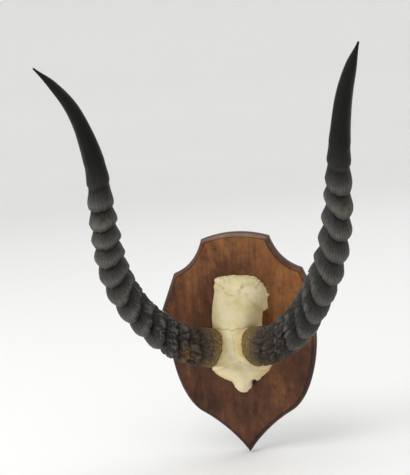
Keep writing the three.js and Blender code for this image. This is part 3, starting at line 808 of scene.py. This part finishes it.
skull = {
    "columns": 160,
    "rows": 190,
    "frontShare": 0.75,  # of the columns, while the rest close the flat back
    "voxel": 0.95,
    # height and half width of each side, then height and depth of the crown in front of the board
    "right": [
        (-67, 3.5), (-63, 8.6), (-59, 11.2), (-53.6, 12.4), (-52.2, 19.4), (-49, 22.2), (-43.6, 28.7),
        (-39.4, 34.6), (-35, 38), (-31, 40), (-27, 41.5), (-15, 39), (5, 35), (25, 31), (37, 32), (50, 34),
        (62, 37.5), (72, 39), (81, 37.5), (88, 34), (93, 29), (97, 23), (100, 13),
    ],
    "left": [
        (-67, 5.5), (-64, 9.8), (-58.8, 13.7), (-54.3, 16.2), (-50, 18.8), (-47.6, 25.8), (-45.2, 32.4),
        (-40.7, 39.5), (-37, 43), (-33, 45), (-28, 44.5), (-15, 40), (5, 37), (25, 36.5), (48, 36.5),
        (62, 35), (72, 32.5), (81, 30.5), (87, 31.5), (94, 29), (98, 23), (100, 14),
    ],
    # the thin broken flange along the right edge, low by the board
    "flange": [
        (-67, 0), (48.6, 0), (49.8, 5.6), (51.2, 7.4), (53, 6.4), (56, 5.4), (58, 5.2), (60, 4.0),
        (64, 3.4), (66, 3.2), (68.6, 4.6), (70.2, 6.6), (71.6, 4.0), (73, 2.2), (75, 2.8), (80, 1.6),
        (90, 1), (98, 0),
    ],
    "flangeHeight": 0.36,
    "crown": [
        (-67, 9), (-58, 15), (-48, 20), (-38, 26), (-28, 34), (-18, 45), (-8, 53), (8, 57), (24, 54),
        (42, 48), (62, 43), (80, 38), (90, 30), (96, 18), (100, 7),
    ],
    # how square the section is: 2 is round
    "arch": [(-67, 2.3), (-52, 1.8), (-38, 1.35), (-25, 1.5), (-5, 2), (20, 2.5), (100, 2.5)],
    # broad bumps and dents: x, z, radius, height
    "bumps": [
        (-17, 89, 9, 3.5), (17, 90, 10, 3.5), (0, 90, 6, -2), (27, 66, 9, 3), (-10, -13, 7, -2.5),
        (9, -15, 7, -2.5), (0, 30, 14, 1.5), (0.8, 99, 3, 2),
    ],
    # the horns' bony stumps, which widen to the rim and end in a peg inside the sheath
    "pedicle": {"length": 26, "root": 19, "rim": 25.8, "overlap": 0.4, "inside": 9, "insideRadius": 19},
    # where they are rounded off: how far down and clear of the rim, how far out and above the board
    "flare": {"length": 34, "clear": 2.2, "radius": 34, "height": 6, "rounds": 26},
    # x and z along each groove, then its depth, half width and dark tint: dark sutures on the seams and
    # painted shade in the folds
    "grooves": {
        "crownSeam": ([(-30.8, 31.8), (-23, 34.6), (-15.3, 34.2), (-9, 35.6), (-2.5, 33.5), (4, 35.8),
                       (10.8, 35.2), (17, 36.4), (23, 35.1), (30, 36)], 0.75, 0.7, 0.85),
        "midSeam": ([(-1.2, 33), (-1.8, 26), (-0.3, 20), (-1.2, 13), (0, 6), (-0.6, -1), (0.3, -7)],
                    0.6, 0.6, 0.6),
        "cupSeam": ([(-13.6, 89), (-13, 85.5), (-10.5, 82.5), (-6.5, 80), (-2.5, 78.6), (2, 78.5),
                     (6.5, 79.8), (10.5, 82.5), (13, 85.5), (13.4, 88.5)], 0.35, 0.7, 0.5),
        "rightFold": ([(8, 83), (11, 87.5), (15.5, 90.3), (22, 91), (29, 88.5), (33, 84)], 2.1, 1.7, 0.3),
        "leftFold": ([(-13.6, 88.5), (-17, 91), (-22, 92), (-28, 90.5)], 2.1, 1.6, 0.3),
        "templeFold": ([(18, 79), (22, 73), (27, 66), (30, 58), (31, 48)], 1.3, 2.2, 0.16),
        "browFold": ([(16, -26), (22, -31), (30, -35)], 1.8, 3.0, 0.22),
        "leftBrowFold": ([(-14, -20), (-22, -27), (-31, -33)], 1.2, 3.0, 0.12),
    },
    # x and z along each ridge, then its height and half width
    "ridges": {
        "leftNape": ([(-28, 94), (-23.8, 96), (-20, 96.3), (-15, 94.6)], 2.6, 1.6),
        "rightNape": ([(10, 91), (14.5, 94.2), (19, 95), (22.7, 94.7), (27, 93), (31, 90)], 2.6, 1.6),
        "temple": ([(21, 81), (25, 76.7), (29.6, 70.9), (32.7, 62.7), (34.5, 54)], 1.4, 1.8),
        "eyeRim": ([(9, -12), (13, -20.4), (22.2, -25.1), (33.9, -28.7), (38, -28.5)], 3.0, 1.9),
        "nose": ([(1, -24), (1, -40), (0.5, -56)], 1.6, 5.0),
        "leftRim": ([(-14, -16), (-22, -24), (-33, -30), (-42, -33)], 1.6, 2.2),
    },
    # round hollows, sunk towards the board: x, z, radius, depth
    "hollows": [
        (-14.1, 89.5, 2.2, 1.0), (13.6, 88.9, 1.8, 0.6), (-7.8, -6, 4.5, 1.8), (5.8, -11, 4.0, 2.0),
        (5.3, -19.8, 3.5, 1.0), (-2, -21, 7, 2.2), (14.6, -50.5, 2.5, 22), (13.6, -54.5, 2.2, 22),
    ],
    # painted shade darkens the hollows, fully in one this deep
    "shadeDepth": 9,  # a hollow this deep is dark all over
    # painted patches: x, z and their half sizes, with a tan tint and painted shade on the right side's band,
    # then the two tanned wings' lines and half width
    "coolPatches": [(-8.5, 16, 4.5, 12), (19, 41, 6, 5), (-6, 2, 4, 6)],
    "tanShadeBand": (32, 45, 5, 17),
    "tannedWings": ([[(20, -43), (39, -33)], [(-20, -48), (-43, -37)]], 4.5),
    "color": {
        "pale": (0.71, 0.63, 0.40), "yellow": (0.60, 0.487, 0.235), "grain": (0.50, 0.42, 0.22),
        "litBrow": (0.80, 0.69, 0.44), "cool": (0.50, 0.53, 0.44), "tan": (0.60, 0.42, 0.19),
        "ochre": (0.40, 0.255, 0.08), "seamsAndFoldShade": (0.24, 0.17, 0.085), "hollowShade": (0.055, 0.048, 0.030),
        "pore": (0.26, 0.19, 0.10),
    },
}


def hornSeat(side):  # where a horn starts, in millimetres, and which way it leaves
    _, middle, direction, _ = hornPath(horn[side]["line"])
    return middle[0], direction[0]


def skullDrum():
    bm = bmesh.new()
    columns, rows, frontShare = skull["columns"], skull["rows"], skull["frontShare"]
    bmesh.ops.create_grid(bm, x_segments=columns, y_segments=rows, size=0.5)
    low, high = skull["crown"][0][0], skull["crown"][-1][0]
    flat = np.array([vert.co for vert in bm.verts]) + 0.5
    row, turn = np.rint(flat[:, 1] * rows), flat[:, 0]
    z = low + (high - low) * row / rows
    angle = math.pi * np.clip(turn / frontShare, 0, 1)
    power = 2 / readSoft(skull["arch"], z, 4)
    across = -np.sign(np.cos(angle)) * np.abs(np.cos(angle)) ** power
    rise = np.abs(np.sin(angle)) ** power
    behind = turn > frontShare
    across = np.where(behind, 1 - 2 * (turn - frontShare) / (1 - frontShare), across)
    rise = np.where(behind, 0, rise)
    crown = readSoft(skull["crown"], z, 3)
    flange = readSoft(skull["flange"], z, 0.5) * np.clip(1 - rise / skull["flangeHeight"], 0, 1)
    half = np.where(across > 0, readSoft(skull["right"], z, 1.2) + flange, readSoft(skull["left"], z, 1.2))
    x = across * half
    bumps = sum(height * near(np.hypot(x - bx, z - bz), radius) for bx, bz, radius, height in skull["bumps"])
    y = boardFront / mm - rise * crown - np.sqrt(rise) * bumps
    ends = (row == 0) | (row == rows)
    x, y = np.where(ends, 0, x), np.where(ends, boardFront / mm - crown / 2, y)
    for vert, co in zip(bm.verts, (np.column_stack([x, y, z]) * mm).tolist()):
        vert.co = co
    bmesh.ops.remove_doubles(bm, verts=bm.verts, dist=1e-6)
    size = skull["pedicle"]
    for side in ("left", "right"):
        middle, direction = hornSeat(side)
        lean = Vector(direction).to_track_quat("Z", "Y").to_matrix().to_4x4()
        seat = Matrix.Translation(Vector(middle) * mm) @ lean
        for start, end, first, second in ((-size["length"], size["overlap"], size["root"], size["rim"]),
                                          (0, size["inside"], size["rim"], size["insideRadius"])):
            shift = Matrix.Translation((0, 0, (start + end) / 2 * mm))
            bmesh.ops.create_cone(bm, cap_ends=True, segments=96, radius1=first * mm, radius2=second * mm,
                                  depth=(end - start) * mm, matrix=seat @ shift)
    bmesh.ops.recalc_face_normals(bm, faces=bm.faces)
    return bm


def softenFlares(mesh):  # rounds the corners where the horns' bony stumps rise out of the forehead
    bm = bmesh.new()
    bm.from_mesh(mesh)
    size = skull["flare"]
    seats = [hornSeat(side) for side in ("left", "right")]
    stumps = [(Vector(middle) * mm, Vector(direction)) for middle, direction in seats]
    chosen = []
    for vert in bm.verts:
        for base, axis in stumps:
            along = (vert.co - base).dot(axis)
            off = (vert.co - base - axis * along).length
            raised = vert.co.y < boardFront - size["height"] * mm
            if raised and -size["length"] * mm < along < -size["clear"] * mm and off < size["radius"] * mm:
                chosen.append(vert)
                break
    for _ in range(size["rounds"]):
        bmesh.ops.smooth_vert(bm, verts=chosen, factor=0.5, use_axis_x=True, use_axis_y=True, use_axis_z=True)
    bm.to_mesh(mesh)
    bm.free()


def carveBone(co, normal):  # gives the moved points, and the two sets of masks that the finish reads
    x, z = co[:, 0] / mm, co[:, 2] / mm
    waver = np.column_stack([relief(co + shift, 230, 2) for shift in (0.0, 0.4)]) * 0.9
    wx, wz = x + waver[:, 0], z + waver[:, 1]
    front = np.clip(-normal[:, 1] * 1.6 + np.clip(normal[:, 2], 0, 1) * 0.9, 0, 1)
    lift, seamsAndFoldShade, hollowShade, sink = (np.zeros(len(co)) for _ in range(4))
    for line, depth, half, tint in skull["grooves"].values():
        cut = near(lineDistance(wx, wz, line), half) * front
        lift -= depth * cut
        seamsAndFoldShade = np.maximum(seamsAndFoldShade, cut * tint)
    for line, rise, half in skull["ridges"].values():
        lift += rise * near(lineDistance(wx, wz, line), half) * np.clip(front + 0.4, 0, 1)
    # painted shade in the hollows, the deeper ones darker
    for hx, hz, radius, depth in skull["hollows"]:
        hollow = near(np.hypot(wx - hx, wz - hz), radius)
        sink += depth * hollow
        hollowShade = np.maximum(hollowShade, hollow * min(1, depth / skull["shadeDepth"]))
    # a gently uneven face, with a rougher top and a rough sawn edge
    edge = np.clip(1 - (boardFront / mm - co[:, 1] / mm) / 7, 0, 1)
    lift += relief(co, 62, 3) * 0.55 + relief(co + 0.7, 260, 3) * 0.22
    lift += ease(88, 98, z) * relief(co + 2.1, 190, 3) + edge * relief(co + 1.3, 210, 3) * 1.3
    offBoard = np.clip((boardFront - co[:, 1]) / (1.5 * mm), 0, 1)
    moved = co + normal * lift[:, None] * mm * offBoard[:, None]
    moved[:, 1] = np.minimum(moved[:, 1] + sink * mm, boardFront - 0.03 * mm)
    marks = np.column_stack([seamsAndFoldShade, boneOchre(moved), boneCool(x, z)])
    return moved, marks, np.column_stack([hollowShade, boneTan(x, z, normal), edge])


def addSkull(material):
    piece = addObject("skullCap", skullDrum())
    blend = piece.modifiers.new("oneBone", "REMESH")
    blend.mode, blend.voxel_size = "VOXEL", skull["voxel"] * mm
    settle(piece)
    mesh = piece.data
    softenFlares(mesh)
    co, normal = np.empty((2, len(mesh.vertices) * 3))
    mesh.vertices.foreach_get("co", co)
    mesh.vertices.foreach_get("normal", normal)
    moved, marks, hurt = carveBone(co.reshape(-1, 3), normal.reshape(-1, 3))
    mesh.vertices.foreach_set("co", moved.ravel())
    for name, values in (("marks", marks), ("hurt", hurt)):
        mesh.attributes.new(name, "FLOAT_VECTOR", "POINT").data.foreach_set("vector", values.ravel())
    mesh.materials.clear()
    mesh.materials.append(material)
    shadeSmooth(piece)
    place(piece, "bone", "skull_cap")
    print("skull has", len(mesh.polygons), "faces")


def boneOchre(co):  # staining next to the horns' bases
    stain = np.zeros(len(co))
    for side in ("left", "right"):
        middle, direction = hornSeat(side)
        off = co / mm - middle
        along = off @ direction
        aside = np.linalg.norm(off - along[:, None] * direction, axis=1)
        stain = np.maximum(stain, np.clip(1 + along / 20, 0, 1) * (1 - ease(27, 39, aside)))
    return stain


def boneCool(x, z):  # bluish and greyish patches
    patches = skull["coolPatches"]
    return np.clip(sum(near(x - px, wide) * near(z - pz, high) for px, pz, wide, high in patches), 0, 1)


def boneTan(x, z, normal):  # a tan tint with painted shade on the right-facing band down the right side, and the tanned wings
    px, pz, wide, high = skull["tanShadeBand"]
    lines, half = skull["tannedWings"]
    band = near(x - px, wide) * near(z - pz, high) * np.clip(normal[:, 0] * 2.2, 0, 1)
    wings = sum(near(lineDistance(x, z, line), half) for line in lines)
    return np.clip(band + wings * 0.75, 0, 1)


def boneFinish():
    bone = Finish("dryBone", specular=0.25)
    hue = skull["color"]
    at = bone.objectPlace()
    marks, hurt = bone.attribute("marks"), bone.attribute("hurt")
    seamsAndFoldShade, ochre, cool = (bone.part(marks, axis) for axis in "XYZ")
    hollowShade, tan, edge = (bone.part(hurt, axis) for axis in "XYZ")
    clouds = bone.noise(at, 42, 4, 0.6)
    fine = bone.noise(at, 500, 4, 0.65)
    grain = bone.noise(bone.stretch(at, (1, 1, 0.3)), 260, 3, 0.6)
    pores = bone.node("TexVoronoi", {"feature": "F1"}, {"Vector": at, "Scale": 620})
    ground = bone.mix(bone.between(clouds, 0.35, 0.72), hue["pale"], hue["yellow"])
    ground = bone.mix(grain * 0.2, ground, hue["grain"])
    # painted light: the brow, which faces down, made as pale as the dome
    litBrow = bone.between(bone.part(at, "Z"), -0.018, -0.036)
    ground = bone.mix(litBrow * 0.6, ground, hue["litBrow"])
    ground = bone.mix(cool * bone.between(clouds, 0.3, 0.6) * 0.6, ground, hue["cool"])
    ground = bone.mix(((tan + edge * litBrow * 0.8) * 0.6).clamped(), ground, hue["tan"])
    ground = bone.mix((ochre ** 1.5 * (0.25 + clouds * 0.9)).clamped(), ground, hue["ochre"])
    broken = 0.4 + bone.between(fine, 0.3, 0.55) * 0.6
    # dark suture lines, and painted shade in the folds
    ground = bone.mix((seamsAndFoldShade * broken * 0.75).clamped(), ground, hue["seamsAndFoldShade"])
    # painted shade in the hollows and in the notch beside the nose
    ground = bone.mix((hollowShade * 0.8).clamped(), ground, hue["hollowShade"])
    holes = bone.between(pores, 0.16, 0.05) * bone.between(fine, 0.5, 0.62)
    ground = bone.mix(holes * 0.5, ground, hue["pore"])
    bone.set(color=ground,
             roughness=(0.52 + fine * 0.18 + clouds * 0.06).clamped(),
             normal=bone.bump(fine * 0.35 + grain * 0.3 - holes * 0.8, 0.0005, 0.8))
    return bone.material


addSkull(boneFinish())
print("the skull is sculpted")


# Fixings on the back

fixings = {
    "agedBrass": {
        "nodes": ("hanger_plate", "hanger_screw_upper", "hanger_screw_lower"),
        "bright": (0.60, 0.43, 0.17), "dull": (0.27, 0.18, 0.08), "rough": 0.24,
    },
    "dulledSteel": {
        "nodes": ("skull_screw_upper", "skull_screw_lower"),
        "bright": (0.52, 0.51, 0.49), "dull": (0.23, 0.21, 0.19), "rough": 0.28,
    },
}


def metalFinish(name, look):
    metal = Finish(name, metallic=1.0)
    at = metal.objectPlace()
    clouds = metal.noise(at, 160, 4, 0.6)
    scratches = metal.noise(metal.stretch(at, (1, 1, 0.05)), 1800, 2, 0.5)
    metal.set(color=metal.mix(metal.between(clouds, 0.35, 0.7), look["bright"], look["dull"]),
              roughness=(look["rough"] + clouds * 0.25 + scratches * 0.1).clamped(),
              normal=metal.bump(scratches * 0.5 + clouds * 0.4, 0.00008))
    return metal.material


for name, look in fixings.items():
    material = metalFinish(name, look)
    for node in look["nodes"]:
        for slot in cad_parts[node].material_slots:
            slot.material = material
print("the fixings are finished")
